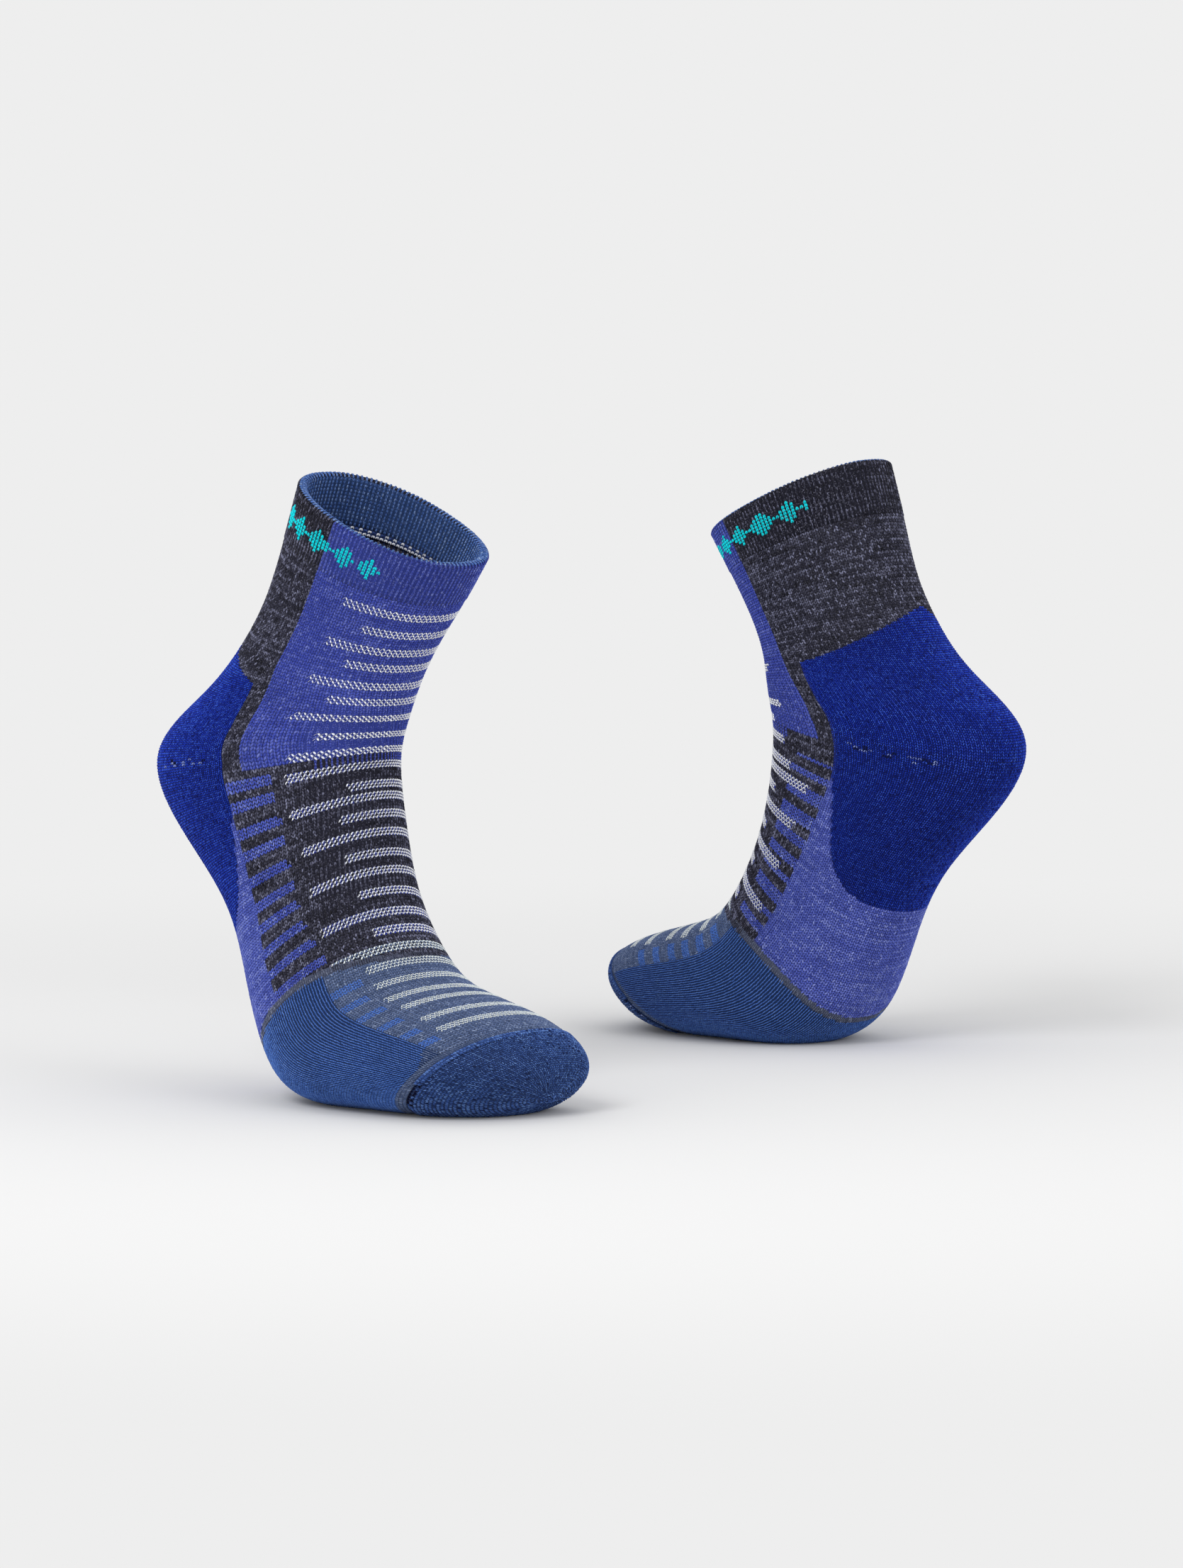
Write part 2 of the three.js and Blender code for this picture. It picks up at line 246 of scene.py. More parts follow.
class Fold(Surface):
    """The rounded fold round a sock's mouth: its ring runs from 0 inside, over, to 1 outside."""

    def __init__(self, sock):
        self.sock = sock

    def point(self, ring, angle):
        ring, angle = np.broadcast_arrays(np.asarray(ring, float), np.asarray(angle, float))
        ring = np.clip(ring, 0, 1)
        mouth = np.full(ring.shape, FOLD_RING)
        down, _ = self.sock.slopes(mouth, angle)
        over = np.pi * (1 - ring[..., None])
        middle = (FOLD_OUTSIDE + FOLD_INSIDE) / 2
        half = (FOLD_INSIDE - FOLD_OUTSIDE) / 2
        depth = middle - half * np.cos(over)
        rise = FOLD_RISE * np.sin(over)
        inwards = self.sock.normal(mouth, angle) * depth
        return self.sock.point(mouth, angle) - inwards - unit(down) * rise


SOCKS = [Sock("right", 1, -100.9, -102.1, -45), Sock("left", -1, 98.1, 100.8, 139)]


# ---- edges of the panels ------------------------------------------------------------------

def edge(points, turn=0):
    rings, angles = np.array(points, float).T
    return lambda ring: np.interp(ring, rings, angles) + turn


def level(value):
    return lambda at: np.full(np.shape(at), float(value))


def heel_top(angle):
    corner = np.where(angle < HEEL_PEAK, HEEL_LEFT, HEEL_RIGHT)
    return HEEL_TOP + HEEL_DROP * np.minimum((angle - HEEL_PEAK) / (corner - HEEL_PEAK), 1)


def heel_bottom(angle):
    aside = np.minimum(np.abs(angle - HEEL_MIDDLE) / HEEL_HALF_WIDTH, 1)
    return HEEL_EDGE_END + HEEL_ROUND * (1 - aside ** 6)


def ball_ring(angle):
    turn = np.radians(angle)
    return BALL_LINE + BALL_LINE_BEND * np.cos(2 * turn) - BALL_LINE_TILT * np.cos(turn)


def ball_ring_end(angle):
    return ball_ring(angle) + BALL_RING_WIDTH


front_right = edge(FRONT_EDGE_RIGHT)
front_left = edge(FRONT_EDGE_LEFT)
back_right = edge(FRONT_EDGE_RIGHT, 360)
heel_left = edge(HEEL_EDGE_LEFT)
heel_right = edge(HEEL_EDGE_RIGHT, 360)
instep_right = edge(HEEL_EDGE_RIGHT)

# ---- yarns --------------------------------------------------------------------------------

# Each yarn: its dark, middle and light colours (sRGB, 0 to 255), how far single stitches
# stray from the middle, how far whole streaks of a course do, and the share of light flecks.
YARNS = {
    "violet": ((40, 50, 138), (64, 78, 172), (112, 124, 202), 0.22, 0.12, 0.02),
    "violet_bright": ((44, 56, 148), (76, 92, 190), (132, 146, 220), 0.26, 0.12, 0.03),
    "violet_pale": ((56, 68, 152), (88, 102, 192), (136, 148, 218), 0.24, 0.20, 0.04),
    "charcoal": ((18, 18, 26), (51, 51, 67), (122, 124, 150), 0.30, 0.22, 0.06),
    "royal": ((6, 22, 112), (26, 56, 184), (64, 104, 222), 0.42, 0.08, 0.0),
    "royal_low": ((6, 20, 106), (24, 54, 176), (56, 92, 212), 0.46, 0.08, 0.0),
    "steel": ((26, 54, 122), (76, 116, 196), (112, 150, 222), 0.18, 0.06, 0.0),
    "toe": ((14, 28, 74), (66, 98, 168), (106, 142, 206), 0.42, 0.08, 0.01),
    "grey_blue": ((60, 76, 110), (88, 106, 146), (134, 150, 184), 0.24, 0.14, 0.03),
    "grey": ((62, 68, 88), (96, 104, 130), (146, 154, 178), 0.26, 0.08, 0.05),
    "white": ((226, 230, 246), (246, 248, 255), (255, 255, 255), 0.30, 0.04, 0.0),
    "green_white": ((214, 226, 230), (238, 246, 248), (252, 255, 255), 0.30, 0.04, 0.0),
    "teal": ((0, 196, 214), (0, 226, 238), (30, 244, 250), 0.25, 0.05, 0.0),
    "lining": ((40, 66, 132), (84, 120, 190), (150, 176, 222), 0.24, 0.08, 0.03),
    "loops": ((150, 154, 168), (226, 230, 240), (250, 250, 255), 0.40, 0.10, 0.0),
    "elastic": ((18, 20, 26), (32, 36, 46), (60, 66, 80), 0.30, 0.10, 0.0),
    "navy": ((30, 44, 92), (60, 84, 148), (88, 112, 176), 0.30, 0.10, 0.0),
    "cord": ((90, 90, 100), (196, 200, 214), (240, 242, 250), 0.45, 0.10, 0.0),
    "pale": ((76, 94, 168), (122, 140, 208), (172, 188, 236), 0.40, 0.0, 0.0),
    # Painted shade: the near-black stitches of the next yarn stand for small holes, dark with the
    # shade seen through them.
    "hole_shade": ((4, 6, 30), (8, 12, 48), (14, 22, 70), 0.20, 0.0, 0.0),
}
YARN = {name: i for i, name in enumerate(YARNS)}


def linear(colour):
    c = np.asarray(colour, float) / 255
    return np.where(c <= 0.04045, c / 12.92, ((c + 0.055) / 1.055) ** 2.4)


SHADES = np.array([[linear(shade) for shade in yarn[:3]] for yarn in YARNS.values()])
STRAY = np.array([yarn[3:] for yarn in YARNS.values()])


def yarn_colours(yarns, streak, rng):
    """A colour for each stitch leg of the given yarns."""
    stray, streaky, flecks = STRAY[yarns].T
    tone = rng.normal(size=yarns.shape) * stray.T + streak * streaky.T
    tone = np.where(rng.random(yarns.shape) < flecks.T, 0.95, tone)
    tone = np.clip(tone, -1, 1)[..., None]
    dark, middle, light = (SHADES[yarns][..., i, :] for i in range(3))
    return np.where(tone < 0, middle + (dark - middle) * -tone, middle + (light - middle) * tone)


# ---- the pattern knitted into each panel ----------------------------------------------------

# Leg and instep stripes: ring, and the angles where they start and end.
STRIPES = [
    (1.27, -70, 32), (1.67, -50, 33), (2.07, -68, 32), (2.52, -48, 34), (3.0, -67, 32),
    (3.5, -51, 43), (4.15, -66, 31), (4.75, -48, 47), (5.4, -60, 33), (5.83, -62, 52),
    (6.2, -26, 60), (6.42, -64, 78), (6.72, -31, 50), (6.98, -61, 78), (7.3, -28, 50),
    (7.62, -57, 78), (7.93, -23, 50), (8.25, -51, 80), (8.5, -17, 50),
]
LAST_INSTEP_STRIPE = [(8.78, -50, 80)]
FOREFOOT_STRIPES = [
    (9.1, -31, 40), (9.55, -30, 42), (10.0, -33, 42), (10.4, -35, 40), (10.85, -38, 38),
    (11.3, -40, 36),
]
COMB_A_ROWS = 5.78 + 0.312 * np.arange(10)
COMB_A_EDGE = [(5.7, -70), (7.0, -70.5), (7.6, -67), (8.0, -63), (8.6, -54)]
COMB_B_ROWS = [6.05, 6.35, 6.68, 6.97, 7.25, 7.55, 7.8, 8.1, 8.35, 8.62]
COMB_B_START = 62  # degrees
COMB_B_TOP = 5.9
MOTIF_ANGLES = {1: (-138, -52), -1: (30, 122)}  # by the sock's mirror
MOTIF_COURSE = 7
MOTIF_PITCH = 17.2  # degrees from one diamond to the next
MOTIF_TALL = 3.6  # half a diamond's height, in courses
MOTIF_WIDE = 8.2  # half its width, in degrees
FOREFOOT_TEETH_A = [9.3, 9.75, 10.2, 10.6, 11.05, 11.5]
FOREFOOT_TEETH_A_REACH = -37  # degrees, and each tooth is shorter than the one above it
FOREFOOT_TEETH_A_STEP = 2
FOREFOOT_TEETH_B = [9.25, 9.6, 9.95, 10.28, 10.6, 10.95]
FOREFOOT_TEETH_B_REACH = 45
VIOLET_ON_INSTEP = (5.95, -47, 52)  # the last ring and the angles of the leg's violet there
BALL_RING_TOP = (74, 308)  # the ball ring is dark before the first angle and after the second
BALL_CORNER_START = 11.6  # the grey-blue corner of the ball, next to the toe
BALL_CORNER = ([11.6, 12.0], [302, 278])
GORE_LINES = {1: (5.18, 230, 262), -1: (5.42, 88, 130)}  # ring and angles, by the sock's mirror
# A draw over the second number paints a stitch near-black, as the shade seen through a small hole.
GORE_PALE, GORE_HOLE_SHADE = 0.22, 0.88  # a draw under the first is pale, and one over the second a hole
TOE_PALE, TOE_HOLE_SHADE = 0.15, 0.5
TOE_GORES = (105, 255)
TOE_GORE_REACH = 16
TOE_GORE_END = 12.6


def near_course(grid, centre):
    """Where the course nearest a ring and its two neighbours are."""
    nearest = np.argmin(np.abs(grid.rings - centre))
    return np.abs(np.arange(len(grid.rings)) - nearest)[:, None] <= 1


def stripes(grid, yarn, rows, colour):
    for ring, first, last in rows:
        if grid.rings[0] - 0.1 < ring < grid.rings[-1] + 0.1:
            on = near_course(grid, ring) & (grid.angle > first) & (grid.angle < last)
            yarn[on] = YARN[colour]


def motif(grid, yarn):
    """A plain row of small diamonds on the outer side of the cuff."""
    first, last = MOTIF_ANGLES[grid.sock.mirror]
    angle = np.where(grid.angle > 180, grid.angle - 360, grid.angle)
    course = np.abs(np.arange(len(grid.rings))[:, None] - MOTIF_COURSE)
    arc = (angle - first) % MOTIF_PITCH - MOTIF_PITCH / 2
    on = (course / MOTIF_TALL + np.abs(arc) / MOTIF_WIDE < 1) & (angle > first) & (angle < last)
    yarn[on] = YARN["teal"]


def plain(colour):
    return lambda grid: np.full(grid.angle.shape, YARN[colour])


def cuff(colour):
    def pattern(grid):
        yarn = np.full(grid.angle.shape, YARN[colour])
        motif(grid, yarn)
        return yarn
    return pattern


def fold(colour):
    def pattern(grid):
        return np.where(grid.ring > FOLD_LINED, YARN[colour], YARN["lining"])
    return pattern


def link_row(grid):
    """A thin dashed row, and below it the loops that close the hem."""
    yarn = np.full(grid.angle.shape, YARN["loops"])
    wale = np.arange(yarn.shape[1])
    yarn[:, wale % 2 == 1] = YARN["navy"]
    yarn[-1] = YARN["loops"]
    return yarn


def floats(grid):
    """Inside the leg: navy ribs with a twisted cord between them."""
    yarn = np.full(grid.angle.shape, YARN["navy"])
    yarn[:, np.arange(yarn.shape[1]) % 2 == 1] = YARN["cord"]
    return yarn


def leg_front(grid):
    yarn = np.full(grid.angle.shape, YARN["violet"])
    stripes(grid, yarn, STRIPES, "white")
    return yarn


def instep(grid):
    """Charcoal, with white stripes and a comb of violet bars from each side."""
    ring, angle = grid.ring, grid.angle
    yarn = np.full(angle.shape, YARN["charcoal"])
    last_ring, first, last = VIOLET_ON_INSTEP
    yarn[(ring < last_ring) & (angle > first) & (angle < last)] = YARN["violet"]
    edge_a = np.interp(ring, *np.array(COMB_A_EDGE, float).T)
    for centre in COMB_A_ROWS:
        yarn[near_course(grid, centre) & (angle < edge_a)] = YARN["violet_bright"]
    side_b = (angle > COMB_B_START) & (ring > COMB_B_TOP)
    yarn[side_b] = YARN["violet_bright"]
    for centre in COMB_B_ROWS:
        yarn[near_course(grid, centre) & side_b] = YARN["charcoal"]
    stripes(grid, yarn, STRIPES, "white")
    stripes(grid, yarn, LAST_INSTEP_STRIPE, "green_white")
    return yarn


def ball_ring_yarn(grid):
    """Grey round the sole, and charcoal over the top of the foot."""
    over = (grid.angle < BALL_RING_TOP[0]) | (grid.angle > BALL_RING_TOP[1])
    return np.where(over, YARN["charcoal"], YARN["grey"])


def forefoot(grid):
    """Grey-blue, with pale stripes and a comb of steel-blue teeth from each side."""
    yarn = np.full(grid.angle.shape, YARN["grey_blue"])
    for i, centre in enumerate(FOREFOOT_TEETH_A):
        reach = FOREFOOT_TEETH_A_REACH - FOREFOOT_TEETH_A_STEP * i
        yarn[near_course(grid, centre) & (grid.angle < reach)] = YARN["steel"]
    for centre in FOREFOOT_TEETH_B:
        yarn[near_course(grid, centre) & (grid.angle > FOREFOOT_TEETH_B_REACH)] = YARN["steel"]
    stripes(grid, yarn, FOREFOOT_STRIPES, "green_white")
    return yarn


def ball(grid):
    yarn = np.full(grid.angle.shape, YARN["steel"])
    corner = np.interp(grid.ring, *BALL_CORNER)
    yarn[(grid.angle > corner) & (grid.ring > BALL_CORNER_START)] = YARN["grey_blue"]
    return yarn


def heel(colour):
    """The cushioned knit, with pale dashes, and small holes painted as near-black stitches of
    shade, along the gore line.
    """
    def pattern(grid):
        yarn = np.full(grid.angle.shape, YARN[colour])
        line, first, last = GORE_LINES[grid.sock.mirror]
        if grid.rings[0] < line < grid.rings[-1]:
            dashes = np.random.default_rng(7).random(yarn.shape)
            on = near_course(grid, line) & (grid.angle > first) & (grid.angle < last)
            yarn[on & (dashes < GORE_PALE)] = YARN["pale"]
            yarn[on & (dashes > GORE_HOLE_SHADE)] = YARN["hole_shade"]
        return yarn
    return pattern


def toe(grid):
    """The toe's knit, with dashes, and holes painted as near-black stitches of shade, where its
    gores start.
    """
    yarn = np.full(grid.angle.shape, YARN["toe"])
    side = np.minimum(*(np.abs(grid.angle - gore) for gore in TOE_GORES))
    first_courses = np.arange(len(grid.rings))[:, None] < 2
    start = first_courses & (side < TOE_GORE_REACH) & (grid.ring < TOE_GORE_END)
    dashes = np.random.default_rng(9).random(yarn.shape)
    yarn[start & (dashes < TOE_PALE)] = YARN["pale"]
    yarn[start & (dashes > TOE_HOLE_SHADE)] = YARN["hole_shade"]
    return yarn


# ---- meshes -------------------------------------------------------------------------------

def new_mesh(name, points, faces, colours, uv, material):
    """An object from points in mm, triangles or quads, a colour for each point and a UV map."""
    faces = np.asarray(faces)
    corners = faces.shape[1]
    mesh = bpy.data.meshes.new(name)
    mesh.vertices.add(len(points))
    mesh.vertices.foreach_set("co", (points * MM).astype(np.float32).ravel())
    mesh.loops.add(faces.size)
    mesh.loops.foreach_set("vertex_index", faces.astype(np.int32).ravel())
    mesh.polygons.add(len(faces))
    mesh.polygons.foreach_set("loop_start", np.arange(0, faces.size, corners, dtype=np.int32))
    mesh.polygons.foreach_set("use_smooth", np.ones(len(faces), bool))
    attribute = mesh.color_attributes.new("yarn", "FLOAT_COLOR", "POINT")
    rgba = np.ones((len(points), 4), np.float32)
    rgba[:, :3] = colours
    attribute.data.foreach_set("color", rgba.ravel())
    if uv is not None:
        layer = mesh.uv_layers.new(name="OFBake")
        layer.data.foreach_set("uv", uv.astype(np.float32).ravel())
    mesh.update(calc_edges=True)
    mesh.validate()
    mesh.materials.append(material)
    piece = bpy.data.objects.new(name, mesh)
    bpy.context.collection.objects.link(piece)
    return piece


# A stitch leg: a closed spindle with two three-cornered sections between its two ends.
LEG_FACES = np.array([
    [0, 2, 1], [0, 3, 2], [0, 1, 3],
    [1, 2, 5], [1, 5, 4], [2, 3, 6], [2, 6, 5], [3, 1, 4], [3, 4, 6],
    [7, 4, 5], [7, 5, 6], [7, 6, 4],
])
# Painted shade: each leg's colour is darkened at its base corners and its two sunk ends, and full
# at its crests, as shade between the yarns.
LEG_PAINTED_SHADE = np.array([0.62, 1.0, 0.6, 0.6, 1.0, 0.6, 0.6, 0.62])
LEG_POINTS = 8
LEG_SECTIONS = ((1, 0.30, -0.04), (4, 0.72, 0.0))  # first point, share of the length, lift in mm
LEG_BASE = SHELL_DEPTH + 0.12  # a leg reaches this far down, into the cloth, mm
LEG_START_SINK = 0.75  # how far down its two ends lie, as shares of that
LEG_END_SINK = 0.45
WOBBLE = 0.035  # how far the ends stray, in wales and courses
UNEVEN = 0.03  # how far the crests stray, mm
STREAK = 9  # stitches over which a course's tone is evened out


def leg_uv():
    """Each of the leg's three sides on its own strip of a unit square, corner by corner."""
    along = {0: 0.05, 1: 0.33, 2: 0.33, 3: 0.33, 4: 0.67, 5: 0.67, 6: 0.67, 7: 0.95}
    corner = {1: 0, 2: 1, 3: 2, 4: 0, 5: 1, 6: 2}
    uv = []
    for face in LEG_FACES:
        used = sorted({corner[v] for v in face if v in corner})
        side = {(0, 1): 0, (1, 2): 1, (0, 2): 2}[tuple(used)]
        for v in face:
            share = float(corner[v] != side) if v in corner else 0.5
            uv.append((share * 0.28 + 0.03 + side / 3, along[v]))
    return np.array(uv)


LEG_UV = leg_uv()

LEAN_THICKER = 0.75  # how much thicker than the mean the thicker leg of a leaning stitch is
STRIPE_RAISED = 0.14  # the stripes' thin yarn lies this far above the cloth's own, mm

# Leg shapes: where a leg starts, across then along, where it ends, and its half width. Across is
# in wales from the stitch's middle, and along is in courses down the sock.
CHEVRON = (0.05, -0.66, 0.46, 0.62, 0.24)
RIB = (0.07, -0.66, 0.13, 0.66, 0.12)
ROPE = (0.24, -0.72, 0.26, 0.72, 0.12)
PILE = (0.10, -0.60, 0.40, 0.50, 0.13)
LOOP = (0.02, -0.40, 0.34, 0.40, 0.22)
SEAM = (0.30, -0.55, 0.10, 0.55, 0.26)
MOTIF_STITCH = (0.06, -0.62, 0.30, 0.60, 0.19)
STRIPE = (0.00, -0.52, 0.50, 0.50, 0.10)
RIBS_START, RIBS_END = (3.4, 4.4), (7.6, 8.6)  # rings over which chevrons turn into ribs and back
RIBS_SIDE = (40, 65)  # degrees from the front over which ribs turn back into chevrons

# Yarns that are laid over the cloth's own: the yarn below, and the shape of their stitches.
RAISED = {
    "white": ("violet", STRIPE),
    "green_white": ("grey_blue", STRIPE),
    "teal": ("teal", MOTIF_STITCH),
}


class Part:
    """Some of a grid's stitches: which, their yarns, their shape and how deep they sink.

    Where they lean, one leg is the thicker, and it runs on into the next course's.
    """

    def __init__(self, grid, keep, yarn, shape, sink, lean=0):
        odd = np.broadcast_to(np.arange(len(grid.rings))[:, None] % 2, keep.shape)[keep]
        self.ring_step = np.broadcast_to(grid.ring_step[:, None], keep.shape)[keep]
        self.angle_step = grid.angle_step[keep]
        self.ring = grid.ring[keep]
        self.angle = grid.angle[keep] + lean * 0.5 * odd * self.angle_step
        self.lean = lean
        self.keep, self.yarn, self.shape = keep, yarn, shape
        self.sink = np.broadcast_to(sink, keep.shape)[keep]

    def legs(self):
        """The shape's five numbers for each stitch. Chevrons close into ribs at the crease."""
        ribbed = np.zeros(len(self.ring))
        if self.shape is CHEVRON:
            ribbed = smooth(self.ring, *RIBS_START) * (1 - smooth(self.ring, *RIBS_END))
            ribbed = ribbed * (1 - smooth(np.abs(self.angle), *RIBS_SIDE))
        return np.outer(self.shape, 1 - ribbed) + np.outer(RIB, ribbed)

    def points(self, surface, depth, inward, rng):
        """The points of the stitches' two legs: (stitch, leg, point, xyz)."""
        down, round_ = surface.slopes(self.ring, self.angle)
        out = unit(np.cross(down, round_))
        under = (depth(self.ring) + self.sink)[:, None]
        middle = surface.point(self.ring, self.angle) - out * under
        down = down * self.ring_step[:, None]
        round_ = round_ * self.angle_step[:, None]
        if inward:
            out = -out
        count = len(self.ring)
        wobble = rng.normal(scale=WOBBLE, size=(count, 2, 4))
        side = np.array([-1.0, 1.0])
        a0, b0, a1, b1, half = self.legs()

        def at(a, b):
            return middle[:, None] + round_[:, None] * a[..., None] + down[:, None] * b[..., None]

        start = at(side * a0[:, None] + wobble[..., 0], b0[:, None] + wobble[..., 1])
        end = at(side * a1[:, None] + wobble[..., 2], b1[:, None] + wobble[..., 3])
        along = end - start
        up = np.broadcast_to(out[:, None], along.shape)
        across = np.cross(unit(along), up)
        half = (half * np.linalg.norm(round_, axis=-1))[:, None, None]
        half = half * (1 + LEAN_THICKER * self.lean * side)[:, None]
        height = rng.normal(scale=UNEVEN, size=(count, 2, 1))
        points = np.empty((count, 2, LEG_POINTS, 3))
        points[:, :, 0] = start - up * (LEG_BASE * LEG_START_SINK)
        points[:, :, 7] = end - up * (LEG_BASE * LEG_END_SINK)
        for first, share, lift in LEG_SECTIONS:
            centre = start + along * share
            points[:, :, first] = centre + up * (height + lift)
            points[:, :, first + 1] = centre - across * half - up * LEG_BASE
            points[:, :, first + 2] = centre + across * half - up * LEG_BASE
        points[..., 2] = np.maximum(points[..., 2], 0.0)
        return points

    def colours(self, rng):
        """A colour for each leg: (stitch, leg, rgb)."""
        rows, columns = self.yarn.shape
        streak = rng.normal(size=(rows, columns + STREAK - 1))
        kernel = np.ones(STREAK) / math.sqrt(STREAK)
        streak = np.apply_along_axis(lambda row: np.convolve(row, kernel, "valid"), 1, streak)
        yarns = np.repeat(self.yarn[self.keep][:, None], 2, axis=1)
        streaks = np.repeat(streak[self.keep][:, None], 2, axis=1)
        return yarn_colours(yarns, streaks, rng)


def stitches(name, surface, parts, material, depth, inward):
    """The stitches of one piece of cloth as one object."""
    rng = np.random.default_rng(zlib.crc32(name.encode()))
    points = [part.points(surface, depth, inward, rng) for part in parts]
    colours = [part.colours(rng) for part in parts]
    points, colours = np.concatenate(points), np.concatenate(colours)
    legs = points.shape[0] * 2
    faces = (LEG_FACES[None] + (np.arange(legs) * LEG_POINTS)[:, None, None]).reshape(-1, 3)
    # The legs' colours with their painted shade.
    shaded = (colours[:, :, None, :] * LEG_PAINTED_SHADE[:, None]).reshape(-1, 3)
    side = math.ceil(math.sqrt(legs))
    cell = np.stack([np.arange(legs) % side, np.arange(legs) // side], axis=-1)
    uv = ((cell[:, None] + LEG_UV[None]) / side).reshape(-1, 2)
    return new_mesh(name, points.reshape(-1, 3), faces, shaded, uv, material)


def spaced(lines, size, fewest, at):
    """The values of at in the middles of equal steps, of about a size, along the mean of lines."""
    steps = sum(np.linalg.norm(np.diff(line, axis=0), axis=-1) for line in lines) / len(lines)
    arc = np.concatenate([[0], np.cumsum(steps)])
    count = max(int(round(arc[-1] / size)), fewest)
    return np.interp((np.arange(count) + 0.5) / count, arc / arc[-1], at)


class Grid:
    """The stitches of a panel: a ring for each course and an angle for each course and wale."""

    def __init__(self, sock, rings, start, end, pitch):
        self.sock = sock
        self.rings = rings
        self.ring_step = np.gradient(rings)
        middle = rings[len(rings) // 2]
        fine = np.linspace(float(start(middle)), float(end(middle)), 361)
        share = spaced([sock.point(middle, fine)], pitch, 3, np.linspace(0, 1, 361))
        low, high = start(rings), end(rings)
        self.angle = low[:, None] + (high - low)[:, None] * share[None]
        step = np.gradient(share)
        self.angle_step = (high - low)[:, None] * step[None]
        self.ring = np.broadcast_to(rings[:, None], self.angle.shape)


def course_rings(sock, first, last, course, angles):
    """Rings of equally spaced courses, as measured down the sock at some angles."""
    fine = np.linspace(first, last, 400)
    return spaced([sock.point(fine, angle) for angle in angles], course, 2, fine)


SHELL_SPACING = 2.2  # mm between the points of a panel's cloth
SETTLING = 12  # passes until rings and angles agree along a panel's edges


def shell_grid(sock, zone):
    """Ring and angle of each point of a panel's shell, whose sides follow the panel's edges."""
    first_row, last_row = zone["rows"]
    closed = "start" not in zone
    start = zone.get("start", level(0))
    end = zone.get("end", level(360))
    top = zone.get("top", level(first_row))
    bottom = zone.get("bottom", level(last_row))
    middle = (first_row + last_row) / 2
    low, high = float(start(middle)), float(end(middle))
    width = arc_length(sock.point(middle, np.linspace(low, high, 200)))
    centre = (low + high) / 2
    line = np.linspace(float(top(centre)), float(bottom(centre)), 100)
    length = arc_length(sock.point(line, centre))
    columns = max(int(width / SHELL_SPACING), 6) + 1
    rows = max(int(length / SHELL_SPACING), 2) + 1
    u = np.linspace(0, 1, columns)[None, :]
    if closed:
        u = u[:, :-1]
    v = np.linspace(0, 1, rows)[:, None]
    ring = first_row + (last_row - first_row) * v + 0 * u
    for _ in range(SETTLING):
        angle = start(ring) + (end(ring) - start(ring)) * u
        ring = top(angle) + (bottom(angle) - top(angle)) * v
    return ring, angle, closed, width, length


def arc_length(points):
    return float(np.linalg.norm(np.diff(points, axis=0), axis=-1).sum())


def layer_faces(rows, columns, closed):
    """Quads of a grid of points, facing the way of ring then angle."""
    across = columns if closed else columns - 1
    r, c = np.meshgrid(np.arange(rows - 1), np.arange(across), indexing="ij")
    beside = (c + 1) % columns
    return np.stack([r * columns + c, (r + 1) * columns + c,
                     (r + 1) * columns + beside, r * columns + beside], axis=-1).reshape(-1, 4)


def rim(indices):
    """The outside loop of a grid of point numbers."""
    top, right = indices[0, :-1], indices[:-1, -1]
    bottom, left = indices[-1, :0:-1], indices[:0:-1, 0]
    return np.concatenate([top, right, bottom, left])


def shell(name, surface, zone, outer, inner, colour, inner_colour, material):
    """A closed thin shell of cloth between two depths, and its width, length and area in mm."""
    ring, angle, closed, width, length = shell_grid(surface, zone)
    rows, columns = ring.shape
    skin = surface.inside(ring, angle, outer(ring))
    back = surface.inside(ring, angle, inner(ring))
    count = rows * columns
    layer = layer_faces(rows, columns, closed)
    faces = [layer, layer[:, ::-1] + count]
    grid = np.arange(count).reshape(rows, columns)

    def wall(loop):
        beside = np.roll(loop, -1)
        return np.stack([loop, beside, beside + count, loop + count], axis=-1)

    if closed:
        faces += [wall(grid[0]), wall(grid[-1])[:, ::-1]]
    else:
        faces.append(wall(rim(grid)))
    points = np.concatenate([skin.reshape(-1, 3), back.reshape(-1, 3)])
    sides = (colour(ring, angle), inner_colour(ring, angle))
    colours = np.concatenate([side.reshape(-1, 3) for side in sides])
    piece = new_mesh(name, points, np.concatenate(faces), colours, None, material)
    a, b, c, d = (skin.reshape(-1, 3)[layer[:, i]] for i in range(4))
    area = 0.5 * np.linalg.norm(np.cross(c - a, d - b), axis=-1).sum()
    return piece, width, length, area


# ---- materials ----------------------------------------------------------------------------

def add_node(tree, kind, inputs, **settings):
    """A node with its inputs either set to a number or linked from another node's output."""
    node = tree.nodes.new(kind)
    for name, value in settings.items():
        setattr(node, name, value)
    for name, value in inputs.items():
        if isinstance(value, bpy.types.NodeSocket):
            tree.links.new(value, node.inputs[name])
        else:
            node.inputs[name].default_value = value
    return node


